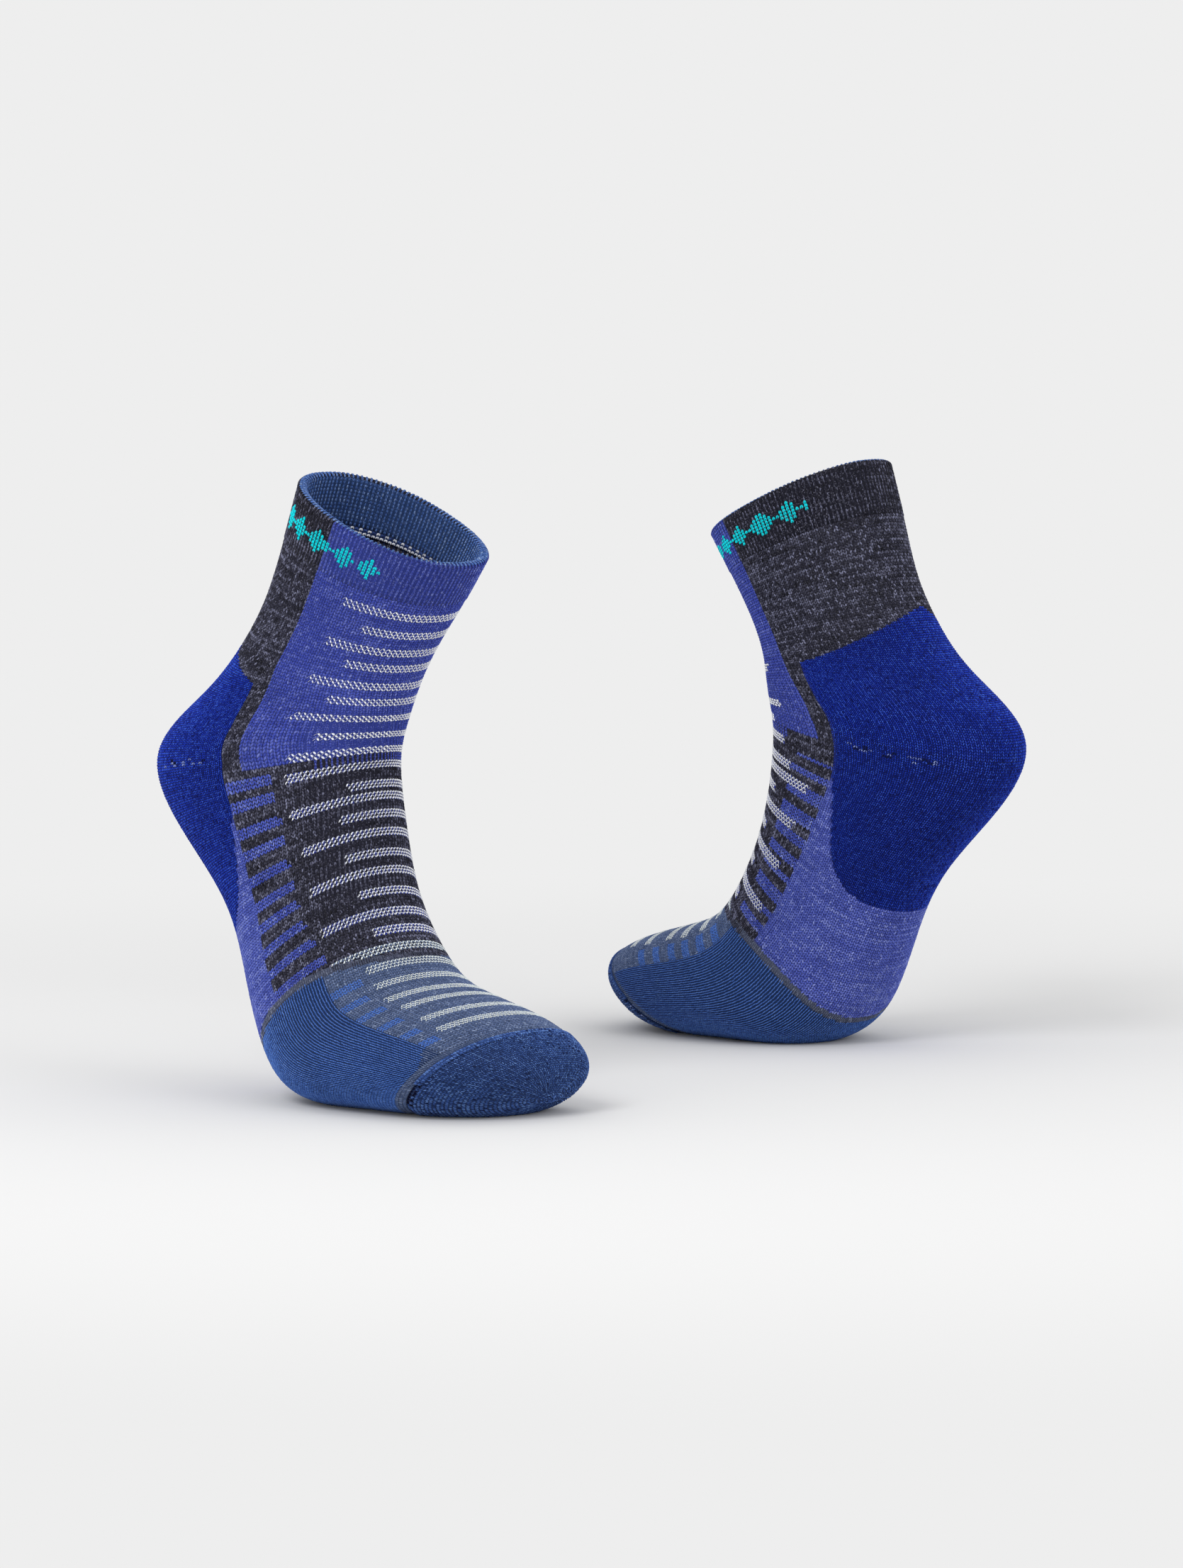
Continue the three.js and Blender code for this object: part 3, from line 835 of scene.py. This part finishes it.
def knit_material(name, fibre=2600, contrast=0.3, bump=0.35, fleck=0.0, fleck_colour=(0, 0, 0),
                  sheen=0.06, roughness=0.95):
    """Yarn: its colour from the mesh, with painted shade in it, broken up by fibres and by flecks
    of a paler fibre.
    """
    material = bpy.data.materials.new(name)
    material.use_nodes = True
    tree = material.node_tree
    shader = tree.nodes["Principled BSDF"]
    shader.inputs["Roughness"].default_value = roughness
    shader.inputs["Sheen Weight"].default_value = sheen
    shader.inputs["Sheen Roughness"].default_value = 0.5
    shader.inputs["Specular IOR Level"].default_value = 0.06
    yarn = add_node(tree, "ShaderNodeAttribute", {}, attribute_name="yarn")
    place = add_node(tree, "ShaderNodeTexCoord", {}).outputs["Object"]
    fibres = add_node(tree, "ShaderNodeTexNoise",
                      {"Vector": place, "Scale": fibre, "Detail": 3, "Roughness": 0.65})
    patches = add_node(tree, "ShaderNodeTexNoise", {"Vector": place, "Scale": 70, "Detail": 2})
    lighten = add_node(tree, "ShaderNodeMapRange", {
        "Value": fibres.outputs["Fac"], "From Min": 0.3, "From Max": 0.7,
        "To Min": 1 - contrast, "To Max": 1 + contrast})
    vary = add_node(tree, "ShaderNodeMapRange", {
        "Value": patches.outputs["Fac"], "From Min": 0.3, "From Max": 0.7,
        "To Min": 0.94, "To Max": 1.06})
    both = add_node(tree, "ShaderNodeMath",
                    {0: lighten.outputs["Result"], 1: vary.outputs["Result"]}, operation="MULTIPLY")
    scale = add_node(tree, "ShaderNodeVectorMath",
                     {0: yarn.outputs["Color"], "Scale": both.outputs["Value"]}, operation="SCALE")
    colour = scale.outputs["Vector"]
    if fleck:
        fine = add_node(tree, "ShaderNodeTexNoise", {"Vector": place, "Scale": 1500, "Detail": 1})
        on = add_node(tree, "ShaderNodeMapRange", {
            "Value": fine.outputs["Fac"], "From Min": 0.60, "From Max": 0.74,
            "To Min": 0.0, "To Max": fleck})
        mix = add_node(tree, "ShaderNodeMix", {
            0: on.outputs["Result"], 6: colour, 7: (*linear(fleck_colour), 1)}, data_type="RGBA")
        colour = mix.outputs[2]
    tree.links.new(colour, shader.inputs["Base Color"])
    rough = add_node(tree, "ShaderNodeBump",
                     {"Height": fibres.outputs["Fac"], "Strength": bump, "Distance": 0.0002})
    tree.links.new(rough.outputs["Normal"], shader.inputs["Normal"])
    return material


# What sets each knit's material apart from knit_material's own values.
KNITS = {
    "violet_heather_knit": dict(fleck=0.3, fleck_colour=(150, 158, 214)),
    "charcoal_heather_knit": dict(contrast=0.38, fleck=0.4, fleck_colour=(146, 146, 166)),
    "royal_blue_terry": dict(fibre=2200, contrast=0.34, bump=0.5),
    "instep_knit": dict(contrast=0.36, fleck=0.4, fleck_colour=(150, 150, 176)),
    "grey_knit": dict(fleck=0.4, fleck_colour=(150, 156, 176)),
    "grey_blue_knit": dict(fleck=0.35, fleck_colour=(160, 170, 196)),
    "steel_blue_terry": dict(fibre=2300, contrast=0.32, bump=0.45),
    "toe_terry": dict(fibre=2100, contrast=0.36, bump=0.5),
    "steel_blue_lining": dict(fleck=0.3, fleck_colour=(130, 150, 200)),
    "elastic": dict(fibre=1800, contrast=0.2, sheen=0.02, roughness=0.6),
    "white_linking_loops": dict(contrast=0.25),
}
MATERIALS = {name: knit_material(name, **settings) for name, settings in KNITS.items()}

# ---- panels -------------------------------------------------------------------------------

# Angles at which the courses of a panel are measured off.
TUBE = (-60, 60)
BACK_LINES = (120, 240)
HEEL_LINES = (150, 210)
SOLE_LINES = (125, 235)
FOOT_LINES = (0, 90, 180, 270)


def toe_depth(ring):
    """The toe cap's cushioned knit swells out of the band beside it."""
    return TOE_SUNK - TOE_SWELL * smooth(ring, TOE_START, TOE_START + TOE_SWELL_RINGS)


def toe_inside(ring):
    return TERRY - TOE_THINNING * smooth(ring, TOE_THINNING_START, TIP_END)


# What the panels of a kind share.
CUFF_KNIT = dict(shape=RIB, pitch=2.1, course=1.3, lines=TUBE)
FOLD_KNIT = dict(rows=(0, 1), fold=True, node=False, inner=FOLD_CLOTH, shape=RIB, pitch=2.1,
                 course=1.2, lines=TUBE)
FLOATS_KNIT = dict(slot="instep_knit", rows=(CUFF_END, FLOATS_END), cloth=False, node=False,
                   yarn="navy", pattern=floats, shape=RIB, pitch=2.35, course=1.5,
                   crest=PLAIN + 0.25, inward=True)
STRIP_KNIT = dict(slot="charcoal_heather_knit", rows=(HEEL_CORNER, CREASE), yarn="charcoal",
                  pattern=plain("charcoal"))
# Painted shade: the heel's cloth between its stitches is darkened to a fifth of its yarn's colour.
HEEL_KNIT = dict(slot="royal_blue_terry", start=heel_left, end=heel_right, inner=TERRY,
                 shape=PILE, pitch=1.9, course=1.25, lines=HEEL_LINES, ground=0.2)
FOREFOOT_ROWS = (BALL_START + BALL_RING_WIDTH, TOE_BAND_START)

# A panel's cloth reaches from depth `outer` to depth `inner`, with its stitches' crests at `crest`.
# `ground` is how bright the cloth is as a share of its yarn: it is painted darker, as shade in
# the gaps between the stitches. `pitch` and `course` are the size of a stitch in mm. `lean` says
# which leg of the stripes' stitches is the thicker: the one towards larger angles, 1, or towards
# smaller ones, -1.
# `lines` are the angles where its courses are measured off; `bands` split it where the number of
# wales changes. `carried_by` names the panel that a narrow band or an edging is knitted onto.
# `node` is False where the CAD has no node for it, and `cloth` where it has no cloth of its own.
PANELS = [
    dict(name="cuff_front", slot="violet_heather_knit", rows=(FOLD_RING, CUFF_END),
         start=front_right, end=front_left, inner=WELT, yarn="violet",
         pattern=cuff("violet_bright"), crest=-0.25, ground=0.42, **CUFF_KNIT),
    dict(name="cuff_back", slot="charcoal_heather_knit", rows=(FOLD_RING, CUFF_END),
         start=front_left, end=back_right, inner=WELT, yarn="charcoal",
         pattern=cuff("charcoal"), crest=-0.25, ground=0.3, **CUFF_KNIT),
    dict(name="cuff_fold_front", slot="violet_heather_knit", start=level(-90), end=level(64),
         yarn="violet", pattern=fold("violet"), carried_by="cuff_front", **FOLD_KNIT),
    dict(name="cuff_fold_back", slot="charcoal_heather_knit", start=level(64), end=level(270),
         yarn="charcoal", pattern=fold("charcoal"), carried_by="cuff_back", **FOLD_KNIT),
    dict(name="cuff_elastic", slot="elastic", rows=ELASTIC_SPAN, outer=ELASTIC_DEPTH,
         inner=ELASTIC_DEPTH + ELASTIC, yarn="elastic", pattern=None),
    dict(name="cuff_lining", slot="steel_blue_lining", rows=(FOLD_RING, LINING_END),
         outer=LINING_DEPTH, inner=LINING_DEPTH + WELT - SHELL_DEPTH, yarn="lining",
         pattern=plain("lining"), crest=LINING_DEPTH + WELT, inward=True, ground=0.22, **CUFF_KNIT),
    dict(name="cuff_link_row", slot="white_linking_loops", rows=(LINING_END, CUFF_END),
         outer=LINK_ROW_DEPTH, inner=LINK_ROW_DEPTH + LINK_ROW - SHELL_DEPTH, yarn="navy",
         pattern=link_row, shape=LOOP, pitch=2.1, course=1.45, lines=TUBE,
         crest=LINK_ROW_DEPTH + 1.1, inward=True, carried_by="cuff_lining"),
    dict(name="leg_front_panel", slot="violet_heather_knit", rows=(CUFF_END, CREASE),
         start=front_right, end=front_left, yarn="violet", pattern=leg_front, lines=TUBE, pitch=2.5,
         lean=1),
    dict(name="leg_back_panel", slot="charcoal_heather_knit", rows=(CUFF_END, HEEL_CORNER),
         bottom=heel_top, start=front_left, end=back_right, yarn="charcoal",
         pattern=plain("charcoal"), lines=BACK_LINES),
    dict(name="leg_front_floats", start=front_right, end=front_left, lines=TUBE,
         carried_by="leg_front_panel", **FLOATS_KNIT),
    dict(name="leg_back_floats", start=front_left, end=back_right, lines=BACK_LINES,
         carried_by="leg_back_panel", **FLOATS_KNIT),
    dict(name="ankle_strip_a", start=instep_right, end=front_right, lines=(-88,), **STRIP_KNIT),
    dict(name="ankle_strip_b", start=front_left, end=heel_left, lines=(76,), **STRIP_KNIT),
    dict(name="heel_upper", rows=(HEEL_CORNER, GORE), top=heel_top, yarn="royal",
         pattern=heel("royal"), **HEEL_KNIT),
    dict(name="heel_lower", rows=(GORE, HEEL_EDGE_END), bottom=heel_bottom, yarn="royal_low",
         pattern=heel("royal_low"), **HEEL_KNIT),
    dict(name="instep_panel", slot="instep_knit", rows=(CREASE, INSTEP_END), bottom=ball_ring,
         start=instep_right, end=heel_left, yarn="charcoal", pattern=instep, lines=TUBE,
         ground=0.4, lean=-1),
    dict(name="arch_panel", slot="violet_heather_knit", rows=(HEEL_EDGE_END, INSTEP_END),
         top=heel_bottom, bottom=ball_ring, start=heel_left, end=heel_right, yarn="violet",
         pattern=plain("violet_pale"), lines=SOLE_LINES),
    dict(name="ball_ring", slot="grey_knit", rows=(BALL_START, BALL_START + BALL_RING_WIDTH),
         top=ball_ring, bottom=ball_ring_end, yarn="grey", pattern=ball_ring_yarn, shape=ROPE,
         lines=FOOT_LINES, carried_by="instep_panel"),
    dict(name="forefoot_top", slot="grey_blue_knit", rows=FOREFOOT_ROWS,
         top=ball_ring_end, start=level(FOREFOOT_EDGE_RIGHT), end=level(FOREFOOT_EDGE_LEFT),
         yarn="grey_blue", pattern=forefoot, lines=(0, 60), lean=-1),
    dict(name="ball_cushion", slot="steel_blue_terry", rows=FOREFOOT_ROWS,
         top=ball_ring_end, start=level(FOREFOOT_EDGE_LEFT), end=level(FOREFOOT_EDGE_RIGHT + 360),
         inner=TERRY, yarn="steel", pattern=ball, shape=ROPE, lines=(90, 180, 270), ground=0.15,
         pitch=2.7),
    dict(name="toe_band", slot="grey_blue_knit", rows=(TOE_BAND_START, TOE_START),
         yarn="grey_blue", pattern=plain("grey_blue"), shape=ROPE, lines=FOOT_LINES,
         carried_by="forefoot_top"),
    dict(name="toe_cap", slot="toe_terry", rows=(TOE_START, TIP_END - 0.03), inner=toe_inside,
         yarn="toe", pattern=toe, shape=PILE, pitch=1.9, course=1.3, lines=FOOT_LINES, ground=0.3,
         crest=toe_depth, bands=(13.1, 13.8, 14.3, 14.7, 15.1, 15.5, 15.8)),
    dict(name="toe_seam", slot="toe_terry", rows=(TOE_START - 0.06, TOE_START + 0.1),
         start=level(-SEAM_HALF_ANGLE), end=level(SEAM_HALF_ANGLE), inner=SEAM_DEPTH, yarn="toe",
         pattern=plain("toe"), shape=SEAM, pitch=1.5, course=2.6, lines=(0, 60), crest=-0.85,
         carried_by="toe_cap"),
]


def ring_span(panel):
    """The lowest and highest ring that a panel reaches."""
    first, last = panel["rows"]
    angles = np.linspace(-100, 360, 461)
    if "start" in panel:
        middle = (first + last) / 2
        angles = np.linspace(float(panel["start"](middle)), float(panel["end"](middle)), 181)
    if "top" in panel:
        first = min(first, float(panel["top"](angles).min()))
    if "bottom" in panel:
        last = max(last, float(panel["bottom"](angles).max()))
    return first, last


def node_name(sock, name):
    """The CAD's name of a panel: the ankle strips are named by the side of the body."""
    outer = "a" if sock.mirror > 0 else "b"
    if name.startswith("ankle_strip_"):
        name = "ankle_strip_" + ("outer" if name[-1] == outer else "inner")
    return f"{sock.name}_{name}"


# Painted shade: on the outside, the cloth between the stitches is darkened to this share of its
# yarn, as shade in the gaps between them.
SHADED_GROUND = 0.5  # how bright a panel's cloth is as a share of its yarn, on the outside
GROUND_INSIDE = 0.7
PITCH = 2.05  # mm from one wale to the next
COURSE = 1.35  # mm from one course to the next
RAISED_SINK = -0.1  # the raised stitches' depth, mm
NARROWEST = 0.0101  # the least width or length that a sheet may be declared with, in metres
AREA_MARGIN = 1.01  # a sheet's width times its length is at least this much over its area
RELAXED = 1.1  # worn knit is stretched by about this much in width and in length


# A yarn's middle colour darkened by a share; it paints the shade on the panels' cloth.
def yarn_shade(yarn, share):
    colour = SHADES[YARN[yarn]][1] * share
    return lambda ring, angle: np.broadcast_to(colour, ring.shape + (3,))


def depth_of(value):
    return value if callable(value) else level(value)


def make_cloth(surface, panel, name):
    crest = depth_of(panel.get("crest", 0.0))
    outer = panel.get("outer", lambda ring: crest(ring) + SHELL_DEPTH)
    # The cloth between the stitches is painted darker, as shade in the gaps; on an inward panel its
    # inner face is the one between the stitches.
    ground = panel.get("ground", SHADED_GROUND)
    inner_ground = ground if panel.get("inward") else GROUND_INSIDE
    cloth, width, length, area = shell(
        f"{name}_cloth", surface, panel, depth_of(outer), depth_of(panel.get("inner", PLAIN)),
        yarn_shade(panel["yarn"], ground), yarn_shade(panel["yarn"], inner_ground),
        MATERIALS[panel["slot"]])
    if panel.get("node", True):
        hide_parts(name)
    return cloth, (width * MM / RELAXED, length * MM / RELAXED, area * (MM / RELAXED) ** 2)


def make_stitches(surface, panel, name):
    first, last = ring_span(panel)
    limits = [first, *panel.get("bands", ()), last]
    parts = []
    for low, high in zip(limits, limits[1:]):
        rings = course_rings(surface, low, high, panel.get("course", COURSE), panel["lines"])
        start, end = panel.get("start", level(0)), panel.get("end", level(360))
        grid = Grid(surface, rings, start, end, panel.get("pitch", PITCH))
        keep = np.ones(grid.angle.shape, bool)
        if "top" in panel:
            keep &= grid.ring > panel["top"](grid.angle)
        if "bottom" in panel:
            keep &= grid.ring < panel["bottom"](grid.angle)
        yarn = panel["pattern"](grid)
        shape = panel.get("shape", CHEVRON)
        below, sink, raised = yarn.copy(), np.zeros(yarn.shape), []
        for colour, (cover, top) in RAISED.items():
            on = yarn == YARN[colour]
            if on.any():
                below[on], sink[on] = YARN[cover], STRIPE_RAISED
                lean = panel.get("lean", 0)
                raised.append(Part(grid, keep & on, yarn, top, RAISED_SINK, lean))
        parts.extend([Part(grid, keep, below, shape, sink), *raised])
    return stitches(f"{name}_stitches", surface, parts, MATERIALS[panel["slot"]],
                    depth_of(panel.get("crest", 0.0)), panel.get("inward", False))


def make_sock(sock):
    """Makes every panel and works out its size as a sheet. Edgings are listed under the panel
    beside them.
    """
    made, sizes, edgings = {}, {}, {}
    for panel in PANELS:
        name = node_name(sock, panel["name"])
        surface = Fold(sock) if panel.get("fold") else sock
        pieces = []
        if panel.get("cloth", True):
            cloth, sizes[name] = make_cloth(surface, panel, name)
            pieces.append(cloth)
        if panel["pattern"]:
            pieces.append(make_stitches(surface, panel, name))
        for piece in pieces:
            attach(piece, sock.body)
        if "carried_by" in panel:
            edgings.setdefault(node_name(sock, panel["carried_by"]), []).extend(pieces)
        else:
            made[name] = pieces
    for name, (cloth, *knit) in made.items():
        width, length, area = sizes[name]
        width = max(width, NARROWEST)
        # A panel wider away from its middle is declared longer than measured, to hold its area.
        length = max(length, area / width * AREA_MARGIN)


for sock in SOCKS:
    make_sock(sock)

# ---- floor, world and lights ----------------------------------------------------------------

BACKGROUND = (*[float(linear(238))] * 3, 1)
FLOOR_COLOUR = (0.775, 0.775, 0.775, 1)
FLOOR_RADIUS = 30.0
FLOOR_RINGS = 24
FLOOR_SIDES = 96
FADE = (0.28, 0.9)  # the floor turns into the background between these radii, in metres


def floor_mesh():
    """Rings that lie closer together near the middle."""
    points = [(0, 0, 0)]
    turns = [k * math.tau / FLOOR_SIDES for k in range(FLOOR_SIDES)]
    for i in range(1, FLOOR_RINGS + 1):
        r = FLOOR_RADIUS * (i / FLOOR_RINGS) ** 3
        points += [(r * math.cos(turn), r * math.sin(turn), 0) for turn in turns]
    faces = [(0, 1 + k, 1 + (k + 1) % FLOOR_SIDES) for k in range(FLOOR_SIDES)]
    for i in range(FLOOR_RINGS - 1):
        a = 1 + i * FLOOR_SIDES
        b = a + FLOOR_SIDES
        for k in range(FLOOR_SIDES):
            n = (k + 1) % FLOOR_SIDES
            faces.append((a + k, b + k, b + n, a + n))
    mesh = bpy.data.meshes.new("floor")
    mesh.from_pydata(points, [], faces)
    return mesh


def make_floor():
    """A round pale floor that fades into the background's own brightness."""
    mesh = floor_mesh()
    floor = bpy.data.objects.new("floor", mesh)
    bpy.context.collection.objects.link(floor)
    material = bpy.data.materials.new("floor")
    material.use_nodes = True
    tree = material.node_tree
    shader = tree.nodes["Principled BSDF"]
    shader.inputs["Base Color"].default_value = FLOOR_COLOUR
    shader.inputs["Roughness"].default_value = 1.0
    shader.inputs["Specular IOR Level"].default_value = 0.0
    glow = add_node(tree, "ShaderNodeEmission", {"Color": BACKGROUND})
    place = add_node(tree, "ShaderNodeTexCoord", {}).outputs["Object"]
    length = add_node(tree, "ShaderNodeVectorMath", {0: place}, operation="LENGTH")
    fade = add_node(tree, "ShaderNodeMapRange", {
        "Value": length.outputs["Value"], "From Min": FADE[0], "From Max": FADE[1]},
        interpolation_type="SMOOTHSTEP")
    mix = add_node(tree, "ShaderNodeMixShader", {
        "Fac": fade.outputs["Result"], 1: shader.outputs["BSDF"], 2: glow.outputs["Emission"]})
    tree.links.new(mix.outputs["Shader"], tree.nodes["Material Output"].inputs["Surface"])
    mesh.materials.append(material)


def make_light(name, place, target, size, energy):
    data = bpy.data.lights.new(name, "AREA")
    data.shape = "DISK"
    data.size = size
    data.energy = energy
    light = bpy.data.objects.new(name, data)
    light.location = place
    direction = Vector(target) - Vector(place)
    light.rotation_euler = direction.to_track_quat("-Z", "Y").to_euler()
    bpy.context.collection.objects.link(light)


make_floor()
world = bpy.data.worlds.new("world")
world.use_nodes = True
world.node_tree.nodes["Background"].inputs["Color"].default_value = BACKGROUND
bpy.context.scene.world = world
make_light("key", (-1.1, -1.9, 1.9), (0, 0, 0.12), 1.2, 26)
make_light("fill", (1.6, -1.5, 1.0), (0, 0, 0.12), 1.4, 10)
make_light("low", (-1.0, -1.7, 0.45), (0.1, 0, 0.06), 1.0, 3)
bpy.context.scene.view_settings.view_transform = "Standard"
